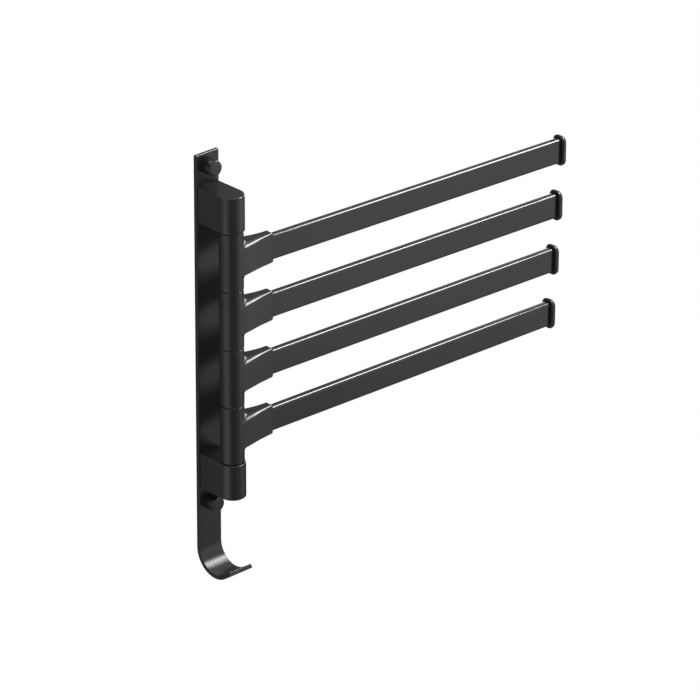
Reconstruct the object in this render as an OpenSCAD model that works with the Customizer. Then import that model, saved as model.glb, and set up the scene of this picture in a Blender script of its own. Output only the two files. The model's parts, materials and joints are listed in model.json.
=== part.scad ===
// Swing arm towel bar for a bathroom wall. A flat wall plate ends in a hook at its foot.
// Two brackets on the plate hold an upright pivot rod, and flat hollow arms swing on the
// rod one above the other, each on its own barrel.
// The origin is midway between the two wall screws, on the back face of the plate.
// +X runs right along the wall, +Y into the wall and +Z up. Arm 1 is the top one.

/* [Wall plate] */
// Width of the flat bar that the plate is made of
plate_w = 19.5; // [18:0.5:30]
// Thickness of the flat bar
plate_t = 3; // [2.5:0.25:4]
// Radius of the plate's long edges
plate_edge_r = 0.5; // [0.3:0.1:0.8]
// Plate above the upper wall screw
plate_above = 9.5; // [8:0.5:20]
// From the lower wall screw down to the lowest point of the hook
hook_drop = 49.5; // [36:0.5:60]
// Outer radius of the bend that makes the hook
hook_r = 17.5; // [12:0.5:22]
// Angle of the bend
hook_wrap = 125; // [100:5:150]
// Straight lip beyond the bend
hook_lip = 8; // [4:0.5:10]

/* [Wall screws] */
// Diameter of the two holes for the wall screws
wall_hole_d = 5; // [4:0.25:6]
// From the centre of a wall screw to the bracket beside it
hole_clear = 12.7; // [10:0.1:16]
// Outer diameter of a screw cover
cover_d = 11; // [10:0.5:14]
// How far a cover stands off the plate
cover_h = 8.2; // [6:0.2:10]
// Wall of a cover
cover_wall = 0.8; // [0.6:0.1:1]
// Radius of a cover's front edge
cover_edge_r = 0.8; // [0.4:0.1:1.2]

/* [Brackets] */
// Width of a bracket, and diameter of its round nose
bracket_w = 18; // [16:0.2:19]
// Height of a bracket
bracket_h = 25.5; // [22:0.5:32]
// Radius of a bracket's top and bottom edges
bracket_edge_r = 0.7; // [0.4:0.1:1.2]
// From the wall to the pivot axis
pivot_offset = 25.5; // [22:0.5:36]

/* [Pivot] */
// Diameter of the pivot rod
rod_d = 6; // [5:0.5:7]
// How deep the rod stands in the upper bracket
rod_seat = 18; // [12:1:20]
// Thickness of the washers between the barrels
washer_t = 0.5; // [0.4:0.1:1]
// Diameter of the washers
washer_d = 14.5; // [12:0.5:15]

/* [Arms] */
// Number of swinging arms
arm_count = 4; // [2:1:5]
// Reach of an arm, from the surface of its barrel to the tip of its end cap
arm_reach = 280; // [180:5:360]
// Angle between the top arm and the wall at rest
arm_fan = 3.6; // [0:0.2:6]
// How much closer to the wall each arm stands than the one above it
arm_fan_step = 0.5; // [0:0.1:0.6]
// Diameter of a barrel
barrel_d = 16.25; // [14.5:0.25:17]
// Height of a barrel
barrel_h = 41.15; // [36:0.05:50]
// Radius of a barrel's top and bottom edges
barrel_edge_r = 0.5; // [0.3:0.1:0.8]
// Height of the flat bar
bar_h = 18; // [14:0.5:22]
// Thickness of the flat bar
bar_t = 5.8; // [5:0.2:7]
// Radius of the bar's long edges
bar_edge_r = 1.5; // [1:0.1:1.8]
// Wall of the hollow bar
bar_wall = 1; // [0.8:0.1:1.2]
// Thickness of an end cap's flange
cap_t = 4.8; // [4:0.2:8]
// How far the flange stands above and below the bar
cap_lip_h = 2; // [1:0.1:3]
// How far the flange stands beside the bar
cap_lip_t = 2.6; // [2:0.1:3]

/* [Hidden] */
$fn = 64;

// How far every cut runs past the face that it opens
cut = 1;
// How much slimmer the hook's straight lip is than its bend, on each face
lip_ease = 0.02;
// Sides of the round pieces inside a hull
hull_sides = 32;

// Clearances
// Between a barrel and the washer above or below it
face_play = 0.05;
// Around the rod in the brackets and in the bushes
rod_fit = 0.05;
// Around the rod in the washers
washer_fit = 0.25;
// Around a pressed bush
press_gap = 0.03;
// Around a screw in its thread, and around a screw head in its seat
thread_gap = 0.05;
// Around a bar in its socket and an end plug in its bar
slip_gap = 0.05;
// Left at the bottom of a blind hole
end_gap = 0.3;

// Bracket screws, countersunk from behind
bracket_screw_d = 4;
bracket_screw_len = 12;
bracket_screw_gap = 13;
screw_head_d = 7.6;
screw_recess = 0.35;
drive_d = 2.6;
drive_depth = 1;

// Base under each screw cover
base_flange_t = 1;
base_inset = 0.3;
base_wall = 0.65;
base_h = 4.4;
base_hole_gap = 0.2;

// Plug screwed in under the pivot rod
plug_d = 8;
plug_len = 7;
plug_drive_d = 4;
plug_drive_depth = 3.5;

// Bushes and the bore of a barrel
bush_len = 9;
bush_wall = 1.35;
bush_recess = 0.1;
middle_gap = 0.5;

// Neck and socket of a barrel
neck_inset = 0.3;
neck_len = 18;
socket_len = 14;
socket_root_wall = 3.15;
socket_wall = 0.95;
socket_lip = 1.7;
socket_edge_r = 2;
socket_mouth_r = 1.2;
slab_t = 0.2;

// Screw through the back of a socket
bar_screw_d = 3;
bar_screw_reach = 0.8;
bar_screw_drive_d = 1.5;
bar_screw_drive_depth = 0.9;

// End cap
cap_corner_r = 4.4;
cap_edge_r = 1;
// How much smaller the flange is at its outer end, all round, and how far back that starts
cap_taper = 1;
cap_taper_len = 2;
// Radius of the edge at the outer end
cap_end_r = 1.6;
cap_plug_len = 12;

// Heights along the pivot axis
washer_room = washer_t + 2 * face_play;
pitch = barrel_h + washer_room;
half_stack = (arm_count * pitch + washer_room) / 2;
hole_z = half_stack + bracket_h + hole_clear;
plate_top = hole_z + plate_above;
hook_bottom = -hole_z - hook_drop;
bend_z = hook_bottom + hook_r;

// Radii and reaches
rod_r = rod_d / 2;
bush_r = rod_r + rod_fit + bush_wall;
barrel_r = barrel_d / 2;
cover_r = cover_d / 2;
head_r = screw_head_d / 2;
bracket_screw_r = bracket_screw_d / 2;
head_h = head_r - bracket_screw_r;
socket_end = neck_len + socket_len;
bar_start = neck_len + end_gap;
bar_end = barrel_r + arm_reach - cap_t;
bar_inner_r = bar_edge_r - bar_wall + slip_gap;

black = [0.09, 0.09, 0.10];
steel = [0.62, 0.62, 0.64];
nylon = [0.85, 0.84, 0.80];
dark_nylon = [0.16, 0.16, 0.17];

function barrel_top(i) = half_stack - washer_room - (i - 1) * pitch;
function washer_top(i) = half_stack - face_play - (i - 1) * pitch;
function rest_angle(i) = arm_fan - (i - 1) * arm_fan_step;

// A rectangle with round corners, centred
module round_rect(w, h, r) {
    square([w - 2 * r, h], center = true);
    square([w, h - 2 * r], center = true);
    for (x = [-1, 1], y = [-1, 1])
        translate([x * (w / 2 - r), y * (h / 2 - r)]) circle(r = r);
}

// A turned disc on the XY plane with round edges
module turned_disc(r, h, edge_r) {
    rotate_extrude() {
        square([r - edge_r, h]);
        translate([0, edge_r]) square([r, h - 2 * edge_r]);
        for (z = [edge_r, h - edge_r]) translate([r - edge_r, z]) circle(r = edge_r);
    }
}

// A bar along +X with round long edges: its section is t across and h high
module bar_along_x(len, t, h, r) {
    rotate([90, 0, 90]) linear_extrude(len) round_rect(t, h, r);
}

// Places its children on the barrel of arm i, turned to the arm's rest angle
module on_arm(i) {
    translate([0, -pivot_offset, barrel_top(i) - barrel_h]) rotate([0, 0, -rest_angle(i)])
        children();
}

// Places its children at each bracket screw, with +Z pointing away from the wall
module at_bracket_screws(sides) {
    for (side = sides, step = [-1, 1])
        translate([0, 0, side * (half_stack + bracket_h / 2) + step * bracket_screw_gap / 2])
            rotate([90, 0, 0]) children();
}

// Places its children at a wall screw on the front face of the plate, +Z away from the wall
module at_wall_screw(side) {
    translate([0, -plate_t, side * hole_z]) rotate([90, 0, 0]) children();
}

// The section of the plate, with its back on the Y axis of the sketch, and less by ease all round
module plate_section(ease = 0) {
    translate([plate_t / 2, 0]) round_rect(plate_t - 2 * ease, plate_w - 2 * ease, plate_edge_r);
}

module wall_plate() {
    color(black) difference() {
        union() {
            // straight length, then the bend, then the lip at its end
            translate([0, 0, bend_z]) linear_extrude(plate_top - bend_z)
                rotate([0, 0, -90]) plate_section();
            translate([0, -hook_r, bend_z]) rotate([-90, 0, 90])
                rotate_extrude(angle = hook_wrap)
                    translate([hook_r, 0]) mirror([1, 0]) plate_section();
            translate([0, -hook_r, bend_z]) rotate([-hook_wrap, 0, 0]) translate([0, hook_r, 0])
                mirror([0, 0, 1]) linear_extrude(hook_lip) rotate([0, 0, -90]) plate_section(lip_ease);
        }
        for (side = [-1, 1]) at_wall_screw(side)
            translate([0, 0, -plate_t - cut]) cylinder(d = wall_hole_d, h = plate_t + 2 * cut);
        at_bracket_screws([-1, 1]) {
            cylinder(r = bracket_screw_r + thread_gap, h = plate_t + cut);
            translate([0, 0, -cut]) cylinder(
                r1 = head_r + screw_recess + cut + thread_gap,
                r2 = bracket_screw_r + thread_gap,
                h = cut + screw_recess + head_h
            );
        }
    }
}

// A bracket without its bores: a round nose on the pivot axis and a limb back to the plate
module bracket_blank() {
    translate([0, -pivot_offset, 0]) turned_disc(bracket_w / 2, bracket_h, bracket_edge_r);
    translate([0, -plate_t, bracket_h / 2]) rotate([90, 0, 0])
        linear_extrude(pivot_offset - plate_t) round_rect(bracket_w, bracket_h, bracket_edge_r);
}

module bracket_screw_bores(side) {
    at_bracket_screws([side])
        cylinder(r = bracket_screw_r + thread_gap, h = screw_recess + bracket_screw_len + end_gap);
}

module upper_bracket() {
    color(black) difference() {
        translate([0, 0, half_stack]) bracket_blank();
        bracket_screw_bores(1);
        translate([0, -pivot_offset, half_stack - cut])
            cylinder(r = rod_r + rod_fit, h = cut + rod_seat + end_gap);
    }
}

module lower_bracket() {
    color(black) difference() {
        translate([0, 0, -half_stack - bracket_h]) bracket_blank();
        bracket_screw_bores(-1);
        translate([0, -pivot_offset, -half_stack - bracket_h - cut]) {
            cylinder(r = rod_r + rod_fit, h = bracket_h + 2 * cut);
            cylinder(r = plug_d / 2 + thread_gap, h = cut + plug_len);
        }
    }
}

module bracket_screws() {
    color(steel) at_bracket_screws([-1, 1]) translate([0, 0, screw_recess]) difference() {
        union() {
            cylinder(r1 = head_r, r2 = bracket_screw_r, h = head_h);
            cylinder(r = bracket_screw_r, h = bracket_screw_len);
        }
        translate([0, 0, -cut]) cylinder(d = drive_d, h = cut + drive_depth, $fn = 6);
    }
}

module pivot_rod() {
    foot_z = -half_stack - bracket_h + plug_len;
    color(steel) translate([0, -pivot_offset, foot_z])
        turned_disc(rod_r, half_stack + rod_seat - foot_z, barrel_edge_r);
}

module rod_plug() {
    color(black) translate([0, -pivot_offset, -half_stack - bracket_h]) difference() {
        cylinder(d = plug_d, h = plug_len);
        translate([0, 0, -cut]) cylinder(d = plug_drive_d, h = cut + plug_drive_depth, $fn = 6);
    }
}

module cover_base(side) {
    color(dark_nylon) at_wall_screw(side) difference() {
        union() {
            cylinder(r = cover_r - base_inset, h = base_flange_t);
            cylinder(r = cover_r - cover_wall - press_gap, h = base_h);
        }
        translate([0, 0, base_flange_t])
            cylinder(r = cover_r - cover_wall - press_gap - base_wall, h = base_h);
        translate([0, 0, -cut])
            cylinder(r = wall_hole_d / 2 + base_hole_gap, h = base_flange_t + 2 * cut);
    }
}

module screw_cover(side) {
    shell_h = cover_h - base_flange_t;
    color(black) at_wall_screw(side) translate([0, 0, base_flange_t]) difference() {
        rotate_extrude() {
            square([cover_r - cover_edge_r, shell_h]);
            square([cover_r, shell_h - cover_edge_r]);
            translate([cover_r - cover_edge_r, shell_h - cover_edge_r]) circle(r = cover_edge_r);
        }
        translate([0, 0, -cut]) cylinder(r = cover_r - cover_wall, h = cut + shell_h - cover_wall);
    }
}

module thrust_washer(i) {
    color(dark_nylon) translate([0, -pivot_offset, washer_top(i) - washer_t]) difference() {
        cylinder(d = washer_d, h = washer_t);
        translate([0, 0, -cut]) cylinder(r = rod_r + washer_fit, h = washer_t + 2 * cut);
    }
}

// A thin slice of the neck or socket at distance x, t across and h high
module neck_slice(x, t, h, r) {
    translate([x - slab_t, 0, barrel_h / 2]) bar_along_x(slab_t, t, h, r);
}

// The neck tapers from the barrel to the root of the socket, and the socket a little more
module neck_and_socket() {
    socket_h = bar_h + 2 * socket_lip;
    root_t = bar_t + 2 * socket_root_wall;
    mouth_t = bar_t + 2 * socket_wall;
    hull($fn = hull_sides) {
        translate([0, 0, (barrel_h - socket_h) / 2])
            turned_disc(barrel_r - neck_inset, socket_h, socket_edge_r);
        neck_slice(neck_len, root_t, socket_h, socket_edge_r);
    }
    hull($fn = hull_sides) {
        neck_slice(neck_len, root_t, socket_h, socket_edge_r);
        neck_slice(socket_end - socket_mouth_r, mouth_t, socket_h, socket_edge_r);
        neck_slice(
            socket_end,
            mouth_t - socket_wall,
            socket_h - socket_mouth_r,
            socket_edge_r - socket_wall / 2
        );
    }
}

module swing_barrel(i) {
    color(black) on_arm(i) difference() {
        union() {
            turned_disc(barrel_r, barrel_h, barrel_edge_r);
            neck_and_socket();
        }
        // bore for the rod, wider at both ends for the bushes
        translate([0, 0, -cut]) cylinder(r = rod_r + middle_gap, h = barrel_h + 2 * cut);
        for (z = [-cut, barrel_h - bush_len - bush_recess])
            translate([0, 0, z]) cylinder(r = bush_r + press_gap, h = bush_len + bush_recess + cut);
        // pocket for the bar
        translate([neck_len, 0, barrel_h / 2]) bar_along_x(
            socket_len + cut,
            bar_t + 2 * slip_gap,
            bar_h + 2 * slip_gap,
            bar_edge_r + slip_gap
        );
        bar_screw_bore();
    }
}

// The hole for the bar screw, from the side that faces the wall to inside the hollow bar
module bar_screw_bore() {
    translate([neck_len + socket_len / 2, 0, barrel_h / 2]) rotate([-90, 0, 0])
        cylinder(d = bar_screw_d + 2 * thread_gap, h = barrel_r + cut);
}

module bush(i, z) {
    color(nylon) on_arm(i) translate([0, 0, z]) difference() {
        cylinder(r = bush_r, h = bush_len);
        translate([0, 0, -cut]) cylinder(r = rod_r + rod_fit, h = bush_len + 2 * cut);
    }
}

module upper_bush(i) {
    bush(i, barrel_h - bush_recess - bush_len);
}

module lower_bush(i) {
    bush(i, bush_recess);
}

module towel_bar(i) {
    color(black) on_arm(i) difference() {
        translate([bar_start, 0, barrel_h / 2])
            bar_along_x(bar_end - bar_start, bar_t, bar_h, bar_edge_r);
        translate([bar_start - cut, 0, barrel_h / 2]) bar_along_x(
            bar_end - bar_start + 2 * cut,
            bar_t - 2 * bar_wall,
            bar_h - 2 * bar_wall,
            bar_inner_r
        );
        bar_screw_bore();
    }
}

module end_cap(i) {
    flange_h = bar_h + 2 * cap_lip_h;
    flange_t = bar_t + 2 * cap_lip_t;
    color(black) on_arm(i) translate([bar_end, 0, barrel_h / 2]) {
        hull($fn = hull_sides) for (y = [-1, 1], z = [-1, 1])
            translate([0, y * (flange_t / 2 - cap_corner_r), z * (flange_h / 2 - cap_corner_r)])
                rotate([0, 90, 0]) {
                    turned_disc(cap_corner_r, cap_t - cap_taper_len, cap_edge_r);
                    turned_disc(cap_corner_r - cap_taper, cap_t, cap_end_r);
                }
        translate([-cap_plug_len, 0, 0]) bar_along_x(
            cap_plug_len + cap_t / 2,
            bar_t - 2 * bar_wall - 2 * slip_gap,
            bar_h - 2 * bar_wall - 2 * slip_gap,
            bar_inner_r
        );
    }
}

module bar_screw(i) {
    screw_tip = bar_t / 2 - bar_wall - bar_screw_reach;
    screw_head = bar_t / 2 + socket_wall;
    color(steel) on_arm(i) translate([neck_len + socket_len / 2, screw_tip, barrel_h / 2])
        rotate([-90, 0, 0]) difference() {
            cylinder(d = bar_screw_d, h = screw_head - screw_tip);
            translate([0, 0, screw_head - screw_tip - bar_screw_drive_depth])
                cylinder(d = bar_screw_drive_d, h = bar_screw_drive_depth + cut, $fn = 6);
        }
}

wall_plate();
upper_bracket();
lower_bracket();
bracket_screws();
pivot_rod();
rod_plug();
cover_base(1);  // upper_cover_base
cover_base(-1);  // lower_cover_base
screw_cover(1);  // upper_screw_cover
screw_cover(-1);  // lower_screw_cover
for (i = [1:arm_count + 1]) {
    thrust_washer(i);
}
for (i = [1:arm_count]) {
    swing_barrel(i);
    upper_bush(i);
    lower_bush(i);
    towel_bar(i);
    end_cap(i);
    bar_screw(i);
}
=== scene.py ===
import json
import math

import bmesh
import bpy
from bpy.props import FloatProperty, FloatVectorProperty, PointerProperty
from bpy.types import Operator, Panel, PropertyGroup
from mathutils import Matrix, Vector

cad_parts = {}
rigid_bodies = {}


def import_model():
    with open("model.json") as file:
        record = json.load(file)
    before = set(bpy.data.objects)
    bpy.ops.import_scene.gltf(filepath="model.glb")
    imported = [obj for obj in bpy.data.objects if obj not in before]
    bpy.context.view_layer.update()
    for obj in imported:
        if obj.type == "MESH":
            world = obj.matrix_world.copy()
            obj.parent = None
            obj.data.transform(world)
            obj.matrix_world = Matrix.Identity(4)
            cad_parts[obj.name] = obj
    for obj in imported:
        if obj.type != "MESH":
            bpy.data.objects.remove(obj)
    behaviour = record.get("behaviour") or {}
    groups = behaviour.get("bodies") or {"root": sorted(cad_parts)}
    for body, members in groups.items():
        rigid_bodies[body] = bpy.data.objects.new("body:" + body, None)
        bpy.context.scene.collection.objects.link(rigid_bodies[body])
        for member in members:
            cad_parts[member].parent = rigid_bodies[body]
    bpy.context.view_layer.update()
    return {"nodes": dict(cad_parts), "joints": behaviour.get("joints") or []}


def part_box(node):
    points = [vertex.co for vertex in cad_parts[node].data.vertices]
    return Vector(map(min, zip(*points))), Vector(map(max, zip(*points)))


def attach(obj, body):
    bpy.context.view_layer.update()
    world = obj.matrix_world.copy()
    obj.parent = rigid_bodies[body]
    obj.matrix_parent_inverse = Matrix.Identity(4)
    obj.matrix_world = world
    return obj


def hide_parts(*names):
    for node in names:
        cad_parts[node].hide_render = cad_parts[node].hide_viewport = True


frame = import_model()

bl_info = {
    "name": "Swing arm towel bar",
    "version": (1, 0, 0),
    "blender": (4, 5, 0),
    "location": "View3D > Sidebar > Towel bar",
    "description": "Builds the visible pieces of a wall-mounted towel rack with four swinging bars",
    "category": "Object",
}

MM = 0.001
ARMS = (1, 2, 3, 4)
PLATE_LOW, PLATE_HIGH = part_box("wall_plate")
BARREL_LOW, BARREL_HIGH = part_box("swing_barrel_1")
UPPER_LOW, UPPER_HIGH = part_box("upper_bracket")
LOWER_LOW, LOWER_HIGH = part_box("lower_bracket")
COVER_LOW, COVER_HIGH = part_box("upper_screw_cover")
SWINGS = {j["child"]: j for j in frame["joints"]}
PIVOT = Vector(SWINGS["arm_1"]["pos_m"])

# hidden fits, the same as in the solids; a hole is given by its radius
PLAY = 0.05 * MM
CUT_PAST = 1 * MM
PLATE_HOLE_DEPTH, SCREW_HOLE_DEPTH = 6 * MM, 4 * MM
BRACKET_SCREW_STEP, BRACKET_SCREW_HOLE, BRACKET_SCREW_DEPTH = 6.5 * MM, 2.05 * MM, 12.65 * MM
COUNTERSINK, COUNTERSINK_DEPTH = 5.2 * MM, 3.15 * MM
ROD_HOLE, ROD_HOLE_DEPTH = 3.05 * MM, 18.3 * MM
PLUG_HOLE, PLUG_HOLE_DEPTH = 4.05 * MM, 7 * MM
BUSH_SEAT_DEPTH, BUSH_LEAD_IN = 9.1 * MM, 0.2 * MM
BAR_SCREW_REACH, BAR_SCREW_HOLE = 25 * MM, 1.55 * MM
SOCKET_DEPTH, CAP_PLUG_LENGTH = 14 * MM, 12 * MM

CORNERS = ((1, 1, 0), (-1, 1, 90), (-1, -1, 180), (1, -1, 270))
QUARTER = [math.radians(15 * k) for k in range(7)]


# ------ sizes and colours

def length(name, description, default, top=0.5):
    return FloatProperty(name=name, description=description, default=default, min=0.0, max=top,
                         unit="LENGTH", precision=5)


def colour(name, description, default):
    return FloatVectorProperty(name=name, description=description, default=default, size=3,
                               subtype="COLOR", min=0.0, max=1.0)


class TowelBarSizes(PropertyGroup):
    plate_width: length("Plate width", "Width of the flat wall plate", PLATE_HIGH.x - PLATE_LOW.x)
    plate_thickness: length("Plate thickness", "Thickness of the wall plate", 3 * MM)
    plate_edge: length("Plate edge", "Radius of the plate's long edges", 0.5 * MM)
    plate_top_edge: length("Plate top edge", "Radius of the edges of the plate's top end", 1.2 * MM)
    hook_radius: length("Hook radius", "Outer radius of the bend at the foot of the plate", 17.5 * MM)
    hook_wrap: FloatProperty(name="Hook wrap", description="Angle of the bend at the foot of the plate",
                             default=math.radians(125), subtype="ANGLE", unit="ROTATION")
    hook_lip: length("Hook lip", "Straight lip beyond the bend", 8 * MM)
    wall_hole: length("Wall hole", "Diameter of the holes for the wall screws", 5 * MM)
    wall_hole_offset: length("Wall hole offset", "From the middle of the plate to each wall screw", 122 * MM)
    bracket_width: length("Bracket width", "Width of a bracket", UPPER_HIGH.x - UPPER_LOW.x)
    bracket_edge: length("Bracket edge", "Radius of a bracket's top and bottom edges", 0.7 * MM)
    barrel_radius: length("Barrel radius", "Radius of the barrel at the root of each arm", -BARREL_LOW.x)
    barrel_edge: length("Barrel edge", "Radius of a barrel's top and bottom edges", 0.5 * MM)
    barrel_bore: length("Barrel bore", "Radius of the bore between the bushes", 3.5 * MM)
    bush_seat: length("Bush seat", "Radius of the bore around a bush", 4.43 * MM)
    neck_height: length("Neck height", "Height of the neck between barrel and bar", 21.4 * MM)
    neck_edge: length("Neck edge", "Radius of the neck's long edges at the back and below", 1 * MM)
    neck_fillet: length("Neck fillet", "Radius of the hollow fillet where neck and barrel meet", 3 * MM)
    neck_mouth: length("Neck mouth", "Thickness of the neck at the bar", 7.4 * MM)
    neck_reach: length("Neck reach", "From the pivot axis to the end of the neck", 32.4 * MM)
    neck_taper: length("Neck taper", "Length over which the neck grows slimmer", 29 * MM)
    neck_end: length("Neck end edge", "Radius of the edge at the neck's end", 0.8 * MM)
    bar_height: length("Bar height", "Height of a towel bar", 18 * MM)
    bar_thickness: length("Bar thickness", "Thickness of a towel bar", 5.8 * MM)
    bar_edge: length("Bar edge", "Radius of a bar's long edges", 2 * MM)
    bar_wall: length("Bar wall", "Wall of the hollow bar", 1 * MM)
    bar_start: length("Bar start", "From the pivot axis to the hidden start of a bar", 18.3 * MM)
    bar_end: length("Bar end", "From the pivot axis to the end cap", 283.32 * MM)
    cap_height: length("Cap height", "Height of an end cap", 22 * MM)
    cap_thickness: length("Cap thickness", "Thickness of an end cap across the bar", 11 * MM)
    cap_length: length("Cap length", "Length of an end cap along the bar", 4.8 * MM)
    cap_corner: length("Cap corner", "Radius of an end cap's corners", 4.4 * MM)
    cap_bar_edge: length("Cap inner edge", "Radius of an end cap's edge on the side of the bar", 0.9 * MM)
    cap_end_edge: length("Cap outer edge", "Radius of an end cap's edge at the free end", 3 * MM)
    cover_radius: length("Cover radius", "Radius of a screw cover", (COVER_HIGH.x - COVER_LOW.x) / 2)
    cover_edge: length("Cover edge", "Radius of a screw cover's front edge", 0.8 * MM)
    floor_drop: length("Floor drop", "From the pivot's middle down to the studio floor", 1.5, 5.0)


class TowelBarColours(PropertyGroup):
    lacquer: colour("Lacquer", "Satin black lacquer on plate and bars", (0.02, 0.02, 0.021))
    casting: colour("Casting lacquer", "Satin black lacquer on the barrels", (0.021, 0.021, 0.022))
    cap: colour("Cap plastic", "Black plastic of the end caps", (0.015, 0.015, 0.016))
    cover: colour("Cover plastic", "Black plastic of the screw covers", (0.02, 0.02, 0.021))
    dark_nylon: colour("Dark nylon", "Washers and cover bases", (0.03, 0.03, 0.032))
    pale_nylon: colour("Pale nylon", "Bushes in the barrels", (0.78, 0.76, 0.7))
    black_screw: colour("Black screws", "Black oxide on the small screws and the plug", (0.05, 0.05, 0.052))
    steel: colour("Steel", "Pivot rod and bracket screws", (0.6, 0.6, 0.61))
    floor: colour("Floor", "The studio floor", (0.9, 0.9, 0.9))


# ------ mesh helpers

def add_mesh(name, points, faces, rounding=None):
    """A closed mesh with even outward faces. rounding marks the points that lie on a rounded edge."""
    mesh = bpy.data.meshes.new(name)
    mesh.from_pydata(points, [], faces)
    if rounding:
        mesh.attributes.new("rounding", "FLOAT", "POINT").data.foreach_set("value", rounding)
    work = bmesh.new()
    work.from_mesh(mesh)
    bmesh.ops.recalc_face_normals(work, faces=work.faces[:])
    work.to_mesh(mesh)
    work.free()
    return mesh


def joined(name, parts):
    """One mesh that takes the place of its parts."""
    work = bmesh.new()
    for part in parts:
        work.from_mesh(part)
        bpy.data.meshes.remove(part)
    mesh = bpy.data.meshes.new(name)
    work.to_mesh(mesh)
    work.free()
    return mesh


def finish_mesh(mesh, angle=32):
    """Smooth shading, with sharp edges where faces meet at more than the angle."""
    mesh.shade_smooth()
    mesh.set_sharp_from_angle(angle=math.radians(angle))
    return mesh


def add_piece(cad_node, mesh, material, body, place=None):
    """Shows the mesh in place of a CAD node, on its body. A placed mesh is a copy that is moved point by point."""
    name = cad_node + "_skin"
    if place is not None:
        mesh = mesh.copy()
        mesh.name = name
        mesh.transform(place)
    piece = bpy.data.objects.new(name, mesh)
    bpy.context.scene.collection.objects.link(piece)
    mesh.materials.clear()
    mesh.materials.append(material)
    even = piece.modifiers.new("Even shading", "WEIGHTED_NORMAL")
    even.keep_sharp = True
    even.weight = 80
    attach(piece, body)
    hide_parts(cad_node)


def rounded_rectangle(half_w, half_h, radius, steps, side_steps=1):
    """Points around a rectangle with round corners, and how round each point's edge is."""
    points, marks = [], []
    for n, (sx, sy, start) in enumerate(CORNERS):
        cx, cy = sx * (half_w - radius), sy * (half_h - radius)
        for k in range(steps + 1):
            a = math.radians(start + 90 * k / steps)
            points.append((cx + radius * math.cos(a), cy + radius * math.sin(a)))
            marks.append(math.sin(math.pi * k / steps) ** 0.5 if 0 < k < steps else 0.0)
        # the straight side on to the next corner
        x, y = points[-1]
        nx, ny, turned = CORNERS[(n + 1) % 4]
        a = math.radians(turned)
        to_x, to_y = nx * (half_w - radius) + radius * math.cos(a), ny * (half_h - radius) + radius * math.sin(a)
        for k in range(1, side_steps):
            points.append((x + (to_x - x) * k / side_steps, y + (to_y - y) * k / side_steps))
            marks.append(0.0)
    return points, marks


def loft(rings, closed=False):
    """Faces between rings of the same number of points, and over both ends unless the rings close."""
    count = len(rings[0])
    points = [p for ring in rings for p in ring]
    faces = []
    for i in range(len(rings) if closed else len(rings) - 1):
        a, b = i * count, ((i + 1) % len(rings)) * count
        for j in range(count):
            k = (j + 1) % count
            faces.append((a + j, a + k, b + k, b + j))
    if not closed:
        faces.append(tuple(range(count)))
        faces.append(tuple(range((len(rings) - 1) * count, len(rings) * count)))
    return points, faces


def turn(profile, marks, steps, axis="Z"):
    """A closed profile of (radius, height) turned about an axis. A radius of 0 is on the axis."""
    points, faces, rounding, index = [], [], [], []
    for i, (r, h) in enumerate(profile):
        row = []
        for k in range(1 if r < 1e-9 else steps):
            a = 2 * math.pi * k / steps
            p = (r * math.cos(a), r * math.sin(a), h)
            points.append(p if axis == "Z" else (p[0], -p[2], p[1]))
            rounding.append(marks[i])
            row.append(len(points) - 1)
        index.append(row)
    for i in range(len(profile)):
        a, b = index[i], index[(i + 1) % len(profile)]
        for k in range(steps):
            m = (k + 1) % steps
            face = [a[k % len(a)], a[m % len(a)], b[m % len(b)], b[k % len(b)]]
            face = [v for n, v in enumerate(face) if v not in face[:n]]
            if len(face) > 2:
                faces.append(face)
    return points, faces, rounding


def arc(cx, cy, radius, start, end, steps):
    """Points of an arc from start to end, in degrees."""
    turns = [math.radians(start + (end - start) * k / steps) for k in range(steps + 1)]
    return [(cx + radius * math.cos(a), cy + radius * math.sin(a)) for a in turns]


def drill(centre, way, radius, depth, far_radius=None, steps=48):
    """A cutter from centre along way, straight or narrowing to far_radius, for cut_away."""
    axis = Vector(way).normalized()
    side = axis.orthogonal().normalized()
    other = axis.cross(side)
    rings = []
    for d, r in ((0, radius), (depth, far_radius or radius)):
        rings.append([Vector(centre) + axis * d + (side * math.cos(2 * math.pi * k / steps)
                      + other * math.sin(2 * math.pi * k / steps)) * r for k in range(steps)])
    return add_mesh("cutter", *loft(rings))


def cut_away(mesh, cutters):
    """The mesh with the cutters taken out of it."""
    body = bpy.data.objects.new("cut_body", mesh)
    scene = bpy.context.scene.collection.objects
    scene.link(body)
    tools = []
    for cutter in cutters:
        tool = bpy.data.objects.new("cutter", cutter)
        scene.link(tool)
        tools.append(tool)
        step = body.modifiers.new("Cut", "BOOLEAN")
        step.operation = "DIFFERENCE"
        step.solver = "EXACT"
        step.object = tool
    graph = bpy.context.evaluated_depsgraph_get()
    result = bpy.data.meshes.new_from_object(body.evaluated_get(graph), depsgraph=graph)
    result.name = mesh.name
    for used in [body] + tools:
        data = used.data
        bpy.data.objects.remove(used)
        bpy.data.meshes.remove(data)
    return result


# ------ node groups

def shader_group(name, inputs, output, build):
    """The node group of that name, built once. Each input is (name, default), where None stands for a vector.
    build links the group's inside and returns what goes to its one output, which is (name, socket type)."""
    group = bpy.data.node_groups.get(name)
    if group:
        return group
    group = bpy.data.node_groups.new(name, "ShaderNodeTree")
    for label, default in inputs:
        kind = "Vector" if default is None else "Color" if isinstance(default, tuple) else "Float"
        socket = group.interface.new_socket(name=label, in_out="INPUT", socket_type="NodeSocket" + kind)
        if default is not None:
            socket.default_value = default
    group.interface.new_socket(name=output[0], in_out="OUTPUT", socket_type=output[1])
    given, result = group.nodes.new("NodeGroupInput"), group.nodes.new("NodeGroupOutput")
    group.links.new(build(group, given.outputs), result.inputs[0])
    return group


def set_or_link(tree, socket, value):
    """Links the socket to another one, or sets it to a plain value."""
    if isinstance(value, bpy.types.NodeSocket):
        tree.links.new(value, socket)
    else:
        socket.default_value = value


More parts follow.
